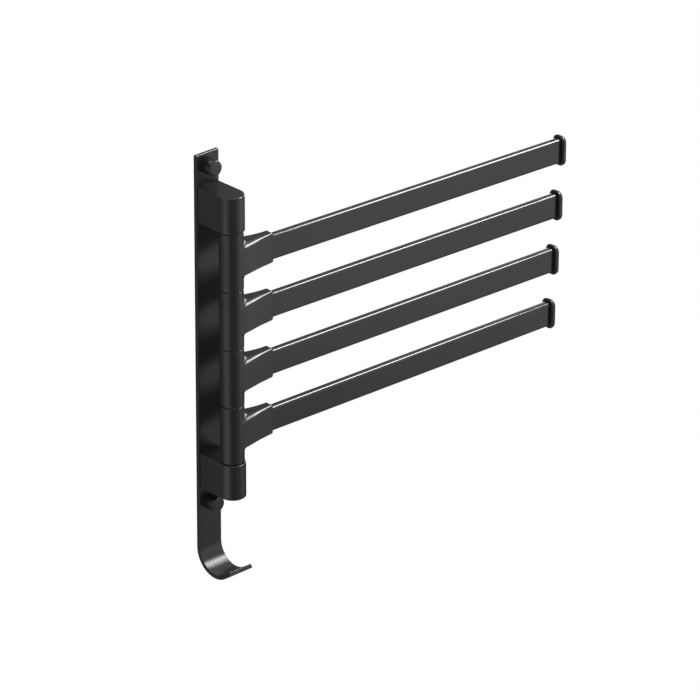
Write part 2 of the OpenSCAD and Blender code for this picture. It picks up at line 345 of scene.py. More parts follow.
def node(tree, kind, **settings):
    """A node with its settings. in_ stands before the name of an input."""
    made = tree.nodes.new(kind)
    for key, value in settings.items():
        if key.startswith("in_"):
            made.inputs[key[3:].replace("_", " ")].default_value = value
        else:
            setattr(made, key, value)
    return made


def math_node(tree, operation, a, b=0.0):
    made = tree.nodes.new("ShaderNodeMath")
    made.operation = operation
    set_or_link(tree, made.inputs[0], a)
    set_or_link(tree, made.inputs[1], b)
    return made.outputs[0]


def noise(tree, vector, scale, detail, roughness, distortion=0.0):
    made = node(tree, "ShaderNodeTexNoise", in_Detail=detail, in_Roughness=roughness, in_Distortion=distortion)
    tree.links.new(vector, made.inputs["Vector"])
    set_or_link(tree, made.inputs["Scale"], scale)
    return made.outputs["Fac"]


def lacquer_skin():
    """Orange peel and fine spray grain of a lacquered surface, as a height."""
    def build(tree, given):
        peel = noise(tree, given["Vector"], given["Peel scale"], 2.0, 0.45, 0.3)
        grain = noise(tree, given["Vector"], given["Grain scale"], 1.0, 0.5)
        return math_node(tree, "ADD", peel, math_node(tree, "MULTIPLY", grain, given["Grain share"]))
    inputs = (("Vector", None), ("Peel scale", 700.0), ("Grain scale", 5200.0), ("Grain share", 0.25))
    return shader_group("Lacquer skin", inputs, ("Height", "NodeSocketFloat"), build)


def shade_drift():
    """A colour that grows a little lighter and darker over the surface, and lighter on rubbed edges."""
    def build(tree, given):
        slow = noise(tree, given["Vector"], given["Scale"], 3.0, 0.55)
        swing = math_node(tree, "MULTIPLY", math_node(tree, "SUBTRACT", slow, 0.5), 2.0)
        swing = math_node(tree, "MULTIPLY", swing, given["Amount"])
        edge = math_node(tree, "MULTIPLY", given["Edge"], given["Edge lift"])
        scale = node(tree, "ShaderNodeVectorMath", operation="SCALE")
        tree.links.new(given["Colour"], scale.inputs[0])
        tree.links.new(math_node(tree, "ADD", math_node(tree, "ADD", swing, edge), 1.0), scale.inputs["Scale"])
        return scale.outputs[0]
    inputs = (("Vector", None), ("Colour", (0.02, 0.02, 0.02, 1)), ("Amount", 0.15), ("Scale", 22.0),
              ("Edge", 0.0), ("Edge lift", 0.3))
    return shader_group("Shade drift", inputs, ("Colour", "NodeSocketColor"), build)


def handling_marks():
    """Roughness that varies with faint wipe marks, and falls a little on rubbed edges."""
    def build(tree, given):
        stretch = node(tree, "ShaderNodeMapping", in_Scale=(1.0, 1.0, 2.5), in_Rotation=(0.3, 0.5, 0.2))
        tree.links.new(given["Vector"], stretch.inputs["Vector"])
        wipes = noise(tree, stretch.outputs[0], 55.0, 4.0, 0.6, 0.8)
        specks = noise(tree, given["Vector"], 900.0, 2.0, 0.6)
        mixed = math_node(tree, "ADD", math_node(tree, "MULTIPLY", wipes, 0.75),
                          math_node(tree, "MULTIPLY", specks, 0.25))
        mixed = math_node(tree, "MULTIPLY", math_node(tree, "SUBTRACT", mixed, 0.5), given["Amount"])
        mixed = math_node(tree, "ADD", given["Roughness"], math_node(tree, "MULTIPLY", mixed, 2.0))
        polish = math_node(tree, "MULTIPLY", given["Edge"], given["Edge polish"])
        return math_node(tree, "MAXIMUM", math_node(tree, "SUBTRACT", mixed, polish), 0.03)
    inputs = (("Vector", None), ("Roughness", 0.2), ("Amount", 0.04), ("Edge", 0.0), ("Edge polish", 0.03))
    return shader_group("Handling marks", inputs, ("Roughness", "NodeSocketFloat"), build)


def brushed_lines():
    """Fine lines of turning or brushing round the Z axis, as a height."""
    def build(tree, given):
        split = node(tree, "ShaderNodeSeparateXYZ")
        tree.links.new(given["Vector"], split.inputs[0])
        join = node(tree, "ShaderNodeCombineXYZ")
        for k, stretch in enumerate(("Along", "Along", "Across")):
            tree.links.new(math_node(tree, "MULTIPLY", split.outputs[k], given[stretch]), join.inputs[k])
        return noise(tree, join.outputs[0], 1.0, 3.0, 0.6)
    inputs = (("Vector", None), ("Across", 9000.0), ("Along", 60.0))
    return shader_group("Brushed lines", inputs, ("Height", "NodeSocketFloat"), build)


def moulded_grain():
    """The fine spark-eroded grain and slow waves of a moulded plastic surface, as a height."""
    def build(tree, given):
        cells = node(tree, "ShaderNodeTexVoronoi", feature="SMOOTH_F1")
        tree.links.new(given["Vector"], cells.inputs["Vector"])
        tree.links.new(given["Grain scale"], cells.inputs["Scale"])
        waves = noise(tree, given["Vector"], given["Wave scale"], 2.0, 0.4)
        return math_node(tree, "ADD", cells.outputs["Distance"],
                         math_node(tree, "MULTIPLY", waves, given["Wave share"]))
    inputs = (("Vector", None), ("Grain scale", 3800.0), ("Wave scale", 260.0), ("Wave share", 0.6))
    return shader_group("Moulded grain", inputs, ("Height", "NodeSocketFloat"), build)


# ------ materials

def use_group(tree, group, **values):
    """Places a group in the material with its own values, and returns its output."""
    made = tree.nodes.new("ShaderNodeGroup")
    made.node_tree = group
    for key, value in values.items():
        set_or_link(tree, made.inputs[key.replace("_", " ").capitalize()], value)
    return made.outputs[0]


def finish(name, base, tint, wear, skin, bump, shine=0.5, bare=False):
    """A material whose colour drifts, whose roughness shows handling, and whose skin stands up a little.
    tint is (amount, scale, edge lift), wear is (roughness, amount, edge polish), skin is the group of its height
    with that group's values, and bump is (strength, distance). A coat is rubbed on the rounded edges, and bare
    metal along its own lines."""
    made = bpy.data.materials.get(name)
    if made:
        return made
    made = bpy.data.materials.new(name)
    made.use_nodes = True
    tree = made.node_tree
    shader = tree.nodes["Principled BSDF"]
    for label, value in (("Metallic", float(bare)), ("IOR", 1.5), ("Specular IOR Level", shine)):
        shader.inputs[label].default_value = value
    place = tree.nodes.new("ShaderNodeTexCoord").outputs["Object"]
    height = use_group(tree, skin[0], vector=place, **skin[1])
    edge = height if bare else node(tree, "ShaderNodeAttribute", attribute_name="rounding").outputs["Fac"]
    tree.links.new(use_group(tree, shade_drift(), vector=place, colour=(*base, 1), amount=tint[0], scale=tint[1],
                             edge=edge, edge_lift=tint[2]), shader.inputs["Base Color"])
    tree.links.new(use_group(tree, handling_marks(), vector=place, roughness=wear[0], amount=wear[1],
                             edge=edge, edge_polish=wear[2]), shader.inputs["Roughness"])
    relief = node(tree, "ShaderNodeBump", in_Strength=bump[0], in_Distance=bump[1])
    tree.links.new(height, relief.inputs["Height"])
    tree.links.new(relief.outputs["Normal"], shader.inputs["Normal"])
    return made


def lacquer(name, base, roughness, peel, strength, shine=0.5):
    """Satin black lacquer sprayed on metal."""
    skin = (lacquer_skin(), {"peel_scale": peel, "grain_scale": 5200.0, "grain_share": 0.2})
    return finish(name, base, (0.14, 24.0, 0.35), (roughness, 0.035, 0.02), skin, (strength, 0.02 * MM), shine)


def plastic(name, base, roughness, grain, strength):
    """Moulded plastic with a fine grain."""
    skin = (moulded_grain(), {"grain_scale": grain, "wave_scale": 260.0, "wave_share": 0.6})
    return finish(name, base, (0.1, 60.0, 0.2), (roughness, 0.05, 0.02), skin, (strength, 0.02 * MM))


def metal(name, base, roughness, across, strength):
    """Turned or ground metal with fine lines round its axis."""
    skin = (brushed_lines(), {"across": across, "along": 80.0})
    return finish(name, base, (0.12, 90.0, 0.15), (roughness, 0.06, 0.08), skin, (strength, 0.01 * MM), bare=True)


def finishes():
    """The materials by the kind of piece, with their roughness, skin scale, bump strength and shine."""
    c = bpy.context.scene.towel_bar_colours
    return {
        "plate": lacquer("Plate lacquer", c.lacquer, 0.28, 520.0, 0.05, 0.46),
        "bracket": lacquer("Bracket lacquer", c.lacquer, 0.22, 640.0, 0.06, 0.56),
        "bar": lacquer("Bar lacquer", c.lacquer, 0.16, 600.0, 0.02, 0.52),
        "casting": lacquer("Casting lacquer", c.casting, 0.24, 420.0, 0.08),
        "cap": plastic("Cap plastic", c.cap, 0.22, 3600.0, 0.05),
        "cover": plastic("Cover plastic", c.cover, 0.2, 3600.0, 0.04),
        "dark_nylon": plastic("Dark nylon", c.dark_nylon, 0.5, 3000.0, 0.2),
        "pale_nylon": plastic("Pale nylon", c.pale_nylon, 0.5, 3000.0, 0.2),
        "black_screw": metal("Black oxide", c.black_screw, 0.38, 7000.0, 0.3),
        "steel": metal("Ground steel", c.steel, 0.26, 9000.0, 0.3),
    }


def dress(nodes, material):
    """Gives carried CAD nodes their material."""
    for name in nodes:
        slots = frame["nodes"][name].data.materials
        slots.clear()
        slots.append(material)


# ------ wall plate with hook

def plate_path(s):
    """Stations down the plate, round the hook and up its lip: a point on the back face and the way to the front."""
    top, bend = PLATE_HIGH.z, PLATE_LOW.z + s.hook_radius
    stations = []
    for k in range(13):
        stations.append((Vector((0, 0, top + (bend - top) * k / 12)), Vector((0, -1, 0)), Vector((0, 0, -1))))
    steps = 60
    for k in range(1, steps + 1):
        t = s.hook_wrap * k / steps
        back = Vector((0, -s.hook_radius + s.hook_radius * math.cos(t), bend - s.hook_radius * math.sin(t)))
        stations.append((back, Vector((0, -math.cos(t), math.sin(t))), Vector((0, -math.sin(t), -math.cos(t)))))
    back, front, along = stations[-1]
    for k in (1, 2, 3, 4):
        stations.append((back + along * s.hook_lip * k / 4, front, along))
    return stations


def plate_mesh(s):
    """The flat bar along its stations. Both ends are rounded by extra stations with a smaller section."""
    stations = plate_path(s)
    head, tail = stations[0], stations[-1]
    top, lip, least_edge, side_share = s.plate_top_edge, 0.35 * MM, 0.12 * MM, 0.8
    turns = [math.radians(90 * k / 8) for k in range(8)]
    full = [(head[0] + head[2] * top * (1 - math.cos(a)), head[1], top * (1 - math.sin(a))) for a in turns]
    full.append((head[0] + head[2] * top, head[1], 0.0))
    full += [(back, front, 0.0) for back, front, along in stations[1:-1]]
    full += [(tail[0] - tail[2] * lip * (1 - math.sin(a)), tail[1], lip * (1 - math.cos(a))) for a in turns]
    full.append((tail[0], tail[1], lip))
    rings, marks = [], []
    for back, front, inset in full:
        section, rounding = rounded_rectangle(s.plate_width / 2 - min(inset, lip) * side_share,
                                              s.plate_thickness / 2 - inset, max(s.plate_edge - inset, least_edge), 6)
        rings.append([back + front * (s.plate_thickness / 2 + v) + Vector((u, 0, 0)) for u, v in section])
        marks += [max(m, min(inset / lip, 1.0)) for m in rounding]
    return add_mesh("wall_plate_skin", *loft(rings), marks)


class TOWELBAR_OT_wall_plate(Operator):
    """Builds the flat wall plate, its hook and the holes for its screws"""
    bl_idname = "towelbar.wall_plate"
    bl_label = "Wall plate"

    def execute(self, context):
        s = context.scene.towel_bar_sizes
        into, cutters = (0, -1, 0), []
        for side in (-1, 1):
            cutters.append(drill((0, CUT_PAST, side * s.wall_hole_offset), into, s.wall_hole / 2, PLATE_HOLE_DEPTH))
            middle = side * (UPPER_LOW.z + UPPER_HIGH.z) / 2
            for z in (middle - BRACKET_SCREW_STEP, middle + BRACKET_SCREW_STEP):
                cutters.append(drill((0, CUT_PAST, z), into, COUNTERSINK, COUNTERSINK_DEPTH, BRACKET_SCREW_HOLE))
                cutters.append(drill((0, -CUT_PAST, z), into, BRACKET_SCREW_HOLE, SCREW_HOLE_DEPTH))
        mesh = finish_mesh(cut_away(plate_mesh(s), cutters))
        add_piece("wall_plate", mesh, finishes()["plate"], "wall_frame")
        return {"FINISHED"}


# ------ brackets

def bracket_mesh(s, low, high, name):
    """A limb from the plate to a round nose on the pivot axis, with round top and bottom edges."""
    half, wall, edge = s.bracket_width / 2, -s.plate_thickness, s.bracket_edge
    outline = [((-half, wall + (PIVOT.y - wall) * k / 4), (-1, 0)) for k in range(4)]
    outline += [((-half * math.cos(a), PIVOT.y - half * math.sin(a)), (-math.cos(a), -math.sin(a)))
                for a in (math.pi * k / 64 for k in range(65))]
    outline += [((half, PIVOT.y + (wall - PIVOT.y) * k / 4), (1, 0)) for k in range(1, 5)]
    levels = [(low.z + edge * (1 - math.cos(a)), edge * (1 - math.sin(a)), math.cos(a)) for a in QUARTER]
    levels += [(low.z + (high.z - low.z) * k / 6, 0.0, 0.0) for k in range(1, 6)]
    levels += [(high.z - edge * (1 - math.sin(a)), edge * (1 - math.cos(a)), math.sin(a)) for a in QUARTER]
    points, faces, marks = [], [], []
    for z, inset, mark in levels:
        for (x, y), (nx, ny) in outline:
            points.append((x - nx * inset, y - ny * inset, z))
            marks.append(math.sqrt(max(0.0, 4 * mark * (1 - mark))))
    n = len(outline)
    for i in range(len(levels) - 1):
        for j in range(n - 1):
            faces.append((i * n + j, i * n + j + 1, (i + 1) * n + j + 1, (i + 1) * n + j))
    faces.append(tuple(range(n)))
    faces.append(tuple(range((len(levels) - 1) * n, len(levels) * n)))
    faces.append(tuple([i * n for i in range(len(levels))] + [i * n + n - 1 for i in reversed(range(len(levels)))]))
    return add_mesh(name, points, faces, marks)


class TOWELBAR_OT_brackets(Operator):
    """Builds the upper and the lower bracket with their bores for rod, plug and screws"""
    bl_idname = "towelbar.brackets"
    bl_label = "Brackets"

    def execute(self, context):
        s = context.scene.towel_bar_sizes
        up = (0, 0, 1)
        for name, low, high in (("upper_bracket", UPPER_LOW, UPPER_HIGH), ("lower_bracket", LOWER_LOW, LOWER_HIGH)):
            foot = (PIVOT.x, PIVOT.y, low.z - CUT_PAST)
            if name == "upper_bracket":
                cutters = [drill(foot, up, ROD_HOLE, ROD_HOLE_DEPTH + CUT_PAST)]
            else:
                cutters = [drill(foot, up, ROD_HOLE, high.z - low.z + 2 * CUT_PAST),
                           drill(foot, up, PLUG_HOLE, PLUG_HOLE_DEPTH + CUT_PAST)]
            middle = (low.z + high.z) / 2
            for z in (middle - BRACKET_SCREW_STEP, middle + BRACKET_SCREW_STEP):
                cutters.append(drill((0, 0, z), (0, -1, 0), BRACKET_SCREW_HOLE, BRACKET_SCREW_DEPTH))
            mesh = finish_mesh(cut_away(bracket_mesh(s, low, high, name + "_skin"), cutters))
            add_piece(name, mesh, finishes()["bracket"], "wall_frame")
        return {"FINISHED"}


# ------ screw covers

def cover_mesh(s, name):
    """A shallow cup over the wall screw, with a round front edge and a face that is hardly crowned."""
    r, e = s.cover_radius, s.cover_edge
    back, front = -COVER_HIGH.y, -COVER_LOW.y
    crown, bevel, wall = 0.12 * MM, 0.15 * MM, 0.8 * MM
    outer = [(r - bevel, back), (r, back + bevel)]
    outer += arc(r - e, front - crown - e, e, 0, 84, 8)
    face = [(r * k / 6 * 0.84, front - crown * (k / 6) ** 2) for k in range(5, -1, -1)]
    inner = [(0, front - wall), (r - wall, front - wall), (r - wall, back)]
    profile = outer + face + inner
    marks = [0.6, 0.3] + [math.sin(math.pi * k / 8) for k in range(9)] + [0.0] * (len(face) + 3)
    return finish_mesh(add_mesh(name, *turn(profile, marks, 96, axis="Y")), 40)


class TOWELBAR_OT_screw_covers(Operator):
    """Builds the two covers over the wall screws and dresses the bases that they are pressed on"""
    bl_idname = "towelbar.screw_covers"
    bl_label = "Screw covers"

    def execute(self, context):
        s = context.scene.towel_bar_sizes
        looks = finishes()
        for name, side in (("upper_screw_cover", 1), ("lower_screw_cover", -1)):
            place = Matrix.Translation((0, 0, side * s.wall_hole_offset))
            add_piece(name, cover_mesh(s, name + "_skin"), looks["cover"], "wall_frame", place)
        dress(("upper_cover_base", "lower_cover_base"), looks["dark_nylon"])
        return {"FINISHED"}


# ------ arms

def arm_place(i):
    """Where arm i stands at rest: its joint, turned back by its rest angle."""
    joint = SWINGS["arm_%d" % i]
    return Matrix.Translation(joint["pos_m"]) @ Matrix.Rotation(math.radians(joint["range_deg"][0]), 4, "Z")


def add_to_arms(piece, mesh, material):
    """The same piece on each of the arms."""
    for i in ARMS:
        add_piece("%s_%d" % (piece, i), mesh, material, "arm_%d" % i, arm_place(i))


def barrel_shell(s):
    """The turned barrel about the arm's own axis, with the bore and the two seats for the bushes."""
    half = (BARREL_HIGH.z - BARREL_LOW.z) / 2
    r, e, seat, lead = s.barrel_radius, s.barrel_edge, half - BUSH_SEAT_DEPTH, BUSH_LEAD_IN
    profile = arc(r - e, -half + e, e, -90, 0, 6)
    marks = [math.sin(math.pi * k / 6) for k in range(7)]
    profile += [(r, -half + e + (2 * half - 2 * e) * k / 6) for k in range(1, 6)]
    marks += [0.0] * 5
    profile += arc(r - e, half - e, e, 0, 90, 6)
    marks += [math.sin(math.pi * k / 6) for k in range(7)]
    inner = [(s.bush_seat + lead, half), (s.bush_seat, half - lead), (s.bush_seat, seat),
             (s.barrel_bore, seat), (s.barrel_bore, -seat), (s.bush_seat, -seat),
             (s.bush_seat, lead - half), (s.bush_seat + lead, -half)]
    profile += inner
    marks += [0.0] * len(inner)
    return turn(profile, marks, 128)


def ease(x, start, end):
    """0 before start, 1 after end, and smooth between."""
    t = min(max((x - start) / (end - start), 0.0), 1.0)
    return t * t * (3 - 2 * t)


def round_end(s, x):
    """How far the neck's end has fallen back at x, along a quarter of a circle."""
    t = min(max((x - s.neck_reach + s.neck_end) / s.neck_end, 0.0), 1.0)
    almost = 0.98  # stops just short of the upright end of the quarter circle
    return s.neck_end * (1 - math.sqrt(1 - t * t * almost))


def neck_half(s, x, side):
    """Half thickness of the neck at a distance from the pivot axis: it leaves the barrel's sides smoothly, and
    on the front (side -1) it runs out into the bar, while at the back its end is rounded off."""
    mouth, proud, run_out = s.neck_mouth / 2, 0.1 * MM, 7 * MM
    half = s.barrel_radius + (mouth - s.barrel_radius) * ease(x, 0.0, s.neck_taper)
    if side < 0:
        return half - (mouth - s.bar_thickness / 2 - proud) * ease(x, s.neck_reach - run_out, s.neck_reach)
    return half - round_end(s, x)


CROWN_TILTS = [math.radians(a) for a in (0, 8, 16, 24, 27, 30, 33, 36, 45, 54, 63, 71, 78, 84, 90)]
# the chamfer's radii up to three of these tilts: near the barrel, and near the mouth, and where along the neck
# the first turn into the second, and these into the one radius at the end
CROWN_RADII = ((3 * MM, 1.6 * MM, CROWN_TILTS[3]), (9 * MM, 3 * MM, CROWN_TILTS[7]),
               (1.5 * MM, 1.4 * MM, CROWN_TILTS[14]))
CROWN_END_RADIUS = 1.2 * MM
CROWN_NARROWS, CROWN_END_FROM = (12 * MM, 27 * MM), 25 * MM


def crown_fall(s, x, tilt):
    """The top's front edge is a soft chamfer of three radii: how far it has run and dropped at a tilt."""
    near, end = ease(x, *CROWN_NARROWS), ease(x, CROWN_END_FROM, s.neck_reach)
    run = drop = last = 0.0
    for wide, slim, limit in CROWN_RADII:
        radius = wide + (slim - wide) * near
        radius += (CROWN_END_RADIUS - radius) * end
        now = max(min(tilt, limit), last)
        run += radius * (math.sin(now) - math.sin(last))
        drop += radius * (math.cos(last) - math.cos(now))
        last = limit
    return run, drop


def neck_lines(corner_steps=14, flat_steps=6):
    """Lines along the neck. Each is (kind, sy, sz, angle): on a corner, or on a flat between corners."""
    lines = []
    for sy, sz, start in CORNERS:
        for k in range(corner_steps + 1):
            turned = CROWN_TILTS[k] if start == 90 else math.radians(90 * k / corner_steps)
            lines.append(("corner", sy, sz, math.radians(start) + turned))
        for k in range(1, flat_steps):
            f = 1 - 2 * k / flat_steps
            lines.append({0: ("top", f, 1, math.pi / 2), 90: ("side", -1, f, math.pi),
                          180: ("top", -f, -1, -math.pi / 2), 270: ("side", 1, -f, 0.0)}[start])
    return lines


def neck_point(s, line, x):
    """A point on a line of the neck and the surface's outward direction there."""
    kind, sy, sz, a = line
    front, back, e = neck_half(s, x, -1), neck_half(s, x, 1), s.neck_edge
    h = s.neck_height / 2 - round_end(s, x)
    run, drop = crown_fall(s, x, CROWN_TILTS[14])
    if kind == "corner" and (sy, sz) == (-1, 1):
        done, fallen = crown_fall(s, x, a - math.pi / 2)
        y, z = run - front - done, h - fallen
    elif kind == "corner":
        y, z = sy * ((front if sy < 0 else back) - e) + e * math.cos(a), sz * (h - e) + e * math.sin(a)
    elif kind == "top":
        inset = run if sz > 0 else e
        y, z = ((back - e) * (1 + sy) + (inset - front) * (1 - sy)) / 2, sz * h
    else:
        y = -front if sy < 0 else back
        z = ((h - (drop if sy < 0 else e)) * (1 + sz) - (h - e) * (1 - sz)) / 2
    step, side = 0.02 * MM, 1 if sy > 0 else -1
    slope = (neck_half(s, x + step, side) - neck_half(s, x - step, side)) / (2 * step)
    return Vector((x, y, z)), Vector((-slope * abs(math.cos(a)), math.cos(a), math.sin(a))).normalized()


FILLET_STEPS, NECK_ROWS, END_ROWS = 8, 26, 8


def fillet_start(s, line):
    """Where a ball of the fillet's radius touches both the neck's line and the barrel."""
    reach = s.barrel_radius + s.neck_fillet
    low, high = 0.0, reach
    for _ in range(48):
        x = (low + high) / 2
        p, n = neck_point(s, line, x)
        c = p + n * s.neck_fillet
        if math.hypot(c.x, c.y) < reach:
            low = x
        else:
            high = x
    p, n = neck_point(s, line, high)
    return high, p, n, p + n * s.neck_fillet


def neck_column(s, line):
    """Points down one line of the neck, from inside the barrel to the round end, and how round each one's edge is."""
    x0, p, n, centre = fillet_start(s, line)
    flat = Vector((centre.x, centre.y, 0)).normalized()
    angle = math.acos(max(-1.0, min(1.0, n.dot(flat))))
    # inside the barrel, just under its surface, then the hollow fillet
    foot, deep, just_under, spread = centre - flat * s.neck_fillet, 0.6, 0.01, 0.5 * MM
    up = 0.0 if abs(n.z) < 1e-6 else math.copysign(spread * abs(n.z), n.z)
    column = [foot - flat * deep * MM + Vector((0, 0, up * 1.5)), foot - flat * just_under * MM + Vector((0, 0, up))]
    for k in range(FILLET_STEPS + 1):
        t = k / FILLET_STEPS
        if angle < 1e-5:
            way = flat.lerp(n, t).normalized()
        else:
            way = (flat * math.sin((1 - t) * angle) + n * math.sin(t * angle)) / math.sin(angle)
        column.append(centre - way * s.neck_fillet)
    marks = [0.0] * len(column)
    for k in range(1, NECK_ROWS + 1):
        x = x0 + (s.neck_reach - s.neck_end - x0) * k / NECK_ROWS
        column.append(neck_point(s, line, x)[0])
        marks.append(0.3 if line[0] == "corner" else 0.0)
    for k in range(1, END_ROWS + 1):
        t = math.sin(math.pi / 2 * k / END_ROWS)
        column.append(neck_point(s, line, s.neck_reach - s.neck_end * (1 - t))[0])
        marks.append(t * 0.5)
    return column, marks


def pocket_ring(s, lines, depth):
    """The bar's outline with its play, at a depth inside the neck's mouth."""
    b, h, r = s.bar_thickness / 2 + PLAY, s.bar_height / 2 + PLAY, s.bar_edge + PLAY
    ring = []
    for kind, sy, sz, a in lines:
        if kind == "corner":
            y, z = sy * (b - r) + r * math.cos(a), sz * (h - r) + r * math.sin(a)
        elif kind == "top":
            y, z = sy * (b - r), sz * h
        else:
            y, z = sy * b, sz * (h - r)
        ring.append(Vector((s.neck_reach - depth, y, z)))
    return ring


def neck_shell(s):
    """The neck and socket: the fillet out of the barrel, the tapered sides, the round end and the bar's pocket."""
    lines = neck_lines()
    columns = [neck_column(s, line) for line in lines]
    count = len(columns[0][0])
    rings = [[column[k] for column, _ in columns] for k in range(count)]
    rounding = [marks[k] for k in range(count) for _, marks in columns]
    rings += [pocket_ring(s, lines, depth) for depth in (0.0, 2 * MM, SOCKET_DEPTH)]
    rounding += [0.0] * (3 * len(lines))
    return add_mesh("neck", *loft(rings), rounding)


def barrel_mesh(s):
    """The barrel and its neck, with the hole for the bar screw in the back of the socket."""
    start, depth = 0.5 * MM, 9 * MM  # from inside the pocket out through the back
    hole = drill((BAR_SCREW_REACH, start, 0), (0, 1, 0), BAR_SCREW_HOLE, depth, steps=40)
    neck = cut_away(neck_shell(s), [hole])
    return finish_mesh(joined("swing_barrel_skin", (neck, add_mesh("barrel", *barrel_shell(s)))), 38)


class TOWELBAR_OT_barrels(Operator):
    """Builds the four barrels with their tapered necks, and dresses the bushes and bar screws"""
    bl_idname = "towelbar.barrels"
    bl_label = "Barrels"

    def execute(self, context):
        looks = finishes()
        add_to_arms("swing_barrel", barrel_mesh(context.scene.towel_bar_sizes), looks["casting"])
        for i in ARMS:
            dress(("upper_bush_%d" % i, "lower_bush_%d" % i), looks["pale_nylon"])
            dress(("bar_screw_%d" % i,), looks["black_screw"])
        return {"FINISHED"}


def bar_mesh(s):
    """A hollow flat bar with round long edges."""
    rings, marks = [], []
    outer, outer_marks = rounded_rectangle(s.bar_thickness / 2, s.bar_height / 2, s.bar_edge, 12)
    inner, _ = rounded_rectangle(s.bar_thickness / 2 - s.bar_wall, s.bar_height / 2 - s.bar_wall,
                                 max(s.bar_edge - s.bar_wall, 0.3 * MM), 12)
    steps = 24
    for k in range(steps + 1):
        x = s.bar_start + (s.bar_end - s.bar_start) * k / steps
        rings.append([Vector((x, y, z)) for y, z in outer])
        marks += outer_marks
    for x in (s.bar_end, s.bar_start):
        rings.append([Vector((x, y, z)) for y, z in inner])
        marks += [0.0] * len(inner)
    return finish_mesh(add_mesh("towel_bar_skin", *loft(rings, closed=True), marks))


class TOWELBAR_OT_bars(Operator):
    """Builds the four hollow flat towel bars"""
    bl_idname = "towelbar.bars"
    bl_label = "Towel bars"

    def execute(self, context):
        add_to_arms("towel_bar", bar_mesh(context.scene.towel_bar_sizes), finishes()["bar"])
        return {"FINISHED"}


def cap_mesh(s):
    """An end cap: a flange with round corners, a softly domed free end and a plug inside the bar."""
    bar, far = s.bar_end, s.bar_end + s.cap_length
    e, d = s.cap_bar_edge, s.cap_end_edge
    crown, straight, least_corner = 0.35 * MM, 0.5 * MM, 0.6 * MM
    # the face against the bar, its round edge, and the longer edge towards the free end
    stations = [(bar, 2.4 * MM, 0.0), (bar, e + 0.4 * MM, 0.0)]
    stations += [(bar + e * (1 - math.cos(a)), e * (1 - math.sin(a)), math.sin(2 * a)) for a in QUARTER]
    run = far - crown - bar - e - straight
    stations += [(far - crown - run * (1 - math.sin(a)), d * (1 - math.cos(a)), 0.5 * math.sin(2 * a))
                 for a in (math.radians(7.5 * k) for k in range(12))]
    rings, marks = [], []
    for x, inset, mark in stations:
        section, _ = rounded_rectangle(s.cap_thickness / 2 - inset, s.cap_height / 2 - inset,
                                       max(s.cap_corner - inset, least_corner), 12, 3)
        rings.append([Vector((x, y, z)) for y, z in section])
        marks += [mark] * len(section)
    # the crowned face, ring by ring to its middle
    edge = rings[-1]
    half_w, half_h = max(p.y for p in edge), max(p.z for p in edge)
    for k in range(1, 6):
        f = 1 - k / 6
        rings.append([Vector((edge[0].x + (far - edge[0].x) * (1 - f * f), p.y * f, p.z * f)) for p in edge])
        marks += [0.0] * len(edge)
    flange = add_mesh("flange", *loft(rings), marks)
    # the plug, with a bevelled tip
    bevel, tip, gap, rings = 0.5 * MM, bar - CAP_PLUG_LENGTH, s.bar_wall + PLAY, []
    for x, inset in ((tip, bevel), (tip + bevel, 0.0), (bar + 0.5 * MM, 0.0)):
        section, _ = rounded_rectangle(s.bar_thickness / 2 - gap - inset, s.bar_height / 2 - gap - inset, bevel, 6)
        rings.append([Vector((x, y, z)) for y, z in section])
    plug = add_mesh("plug", *loft(rings), [0.0] * (3 * len(section)))
    return finish_mesh(joined("end_cap_skin", (flange, plug)), 40)


class TOWELBAR_OT_end_caps(Operator):
    """Builds the four end caps"""
    bl_idname = "towelbar.end_caps"
    bl_label = "End caps"

    def execute(self, context):
        add_to_arms("end_cap", cap_mesh(context.scene.towel_bar_sizes), finishes()["cap"])
        return {"FINISHED"}


class TOWELBAR_OT_pivot(Operator):
    """Dresses the pivot rod, its plug, the washers and the bracket screws"""
    bl_idname = "towelbar.pivot"
    bl_label = "Pivot"

    def execute(self, context):
        looks = finishes()
        dress(("pivot_rod", "bracket_screws"), looks["steel"])
        dress(("rod_plug",), looks["black_screw"])
        dress(["thrust_washer_%d" % i for i in range(1, len(ARMS) + 2)], looks["dark_nylon"])
        return {"FINISHED"}


# ------ studio

# where the photo was taken from, found by fitting edges of the object, and 0.6 mm lower to suit the picture
CAMERA_RIGHT = Vector((0.72949, -0.68398, 0.00406))
CAMERA_UP = Vector((0.29218, 0.31698, 0.90231))
CAMERA_BACK = Vector((-0.61844, -0.65704, 0.43108))
CAMERA_PLACE = Vector((-2.118902, -2.389441, 1.514671)) - CAMERA_UP * 0.6 * MM
CAMERA_LENS = 276.2
LOOK_AT = Vector((0.08, -0.03, 0.0))
TENT_RADIUS = 1.35


def direction(azimuth, elevation):
    """A direction from the object: azimuth from +Y towards +X, elevation upwards, in degrees."""
    a, e = math.radians(azimuth), math.radians(elevation)
    return Vector((math.sin(a) * math.cos(e), math.cos(a) * math.cos(e), math.sin(e)))


def add_camera(context):
    """The camera at the photo's angle and distance."""
    data = bpy.data.cameras.new("Camera")
    data.sensor_width = 36.0
    data.lens = CAMERA_LENS
    data.clip_end = 50.0
    camera = bpy.data.objects.new("Camera", data)
    context.scene.collection.objects.link(camera)
    turned = Matrix((CAMERA_RIGHT.normalized(), CAMERA_UP.normalized(), CAMERA_BACK.normalized())).transposed()
    camera.matrix_world = Matrix.Translation(CAMERA_PLACE) @ turned.to_4x4()
    context.scene.camera = camera


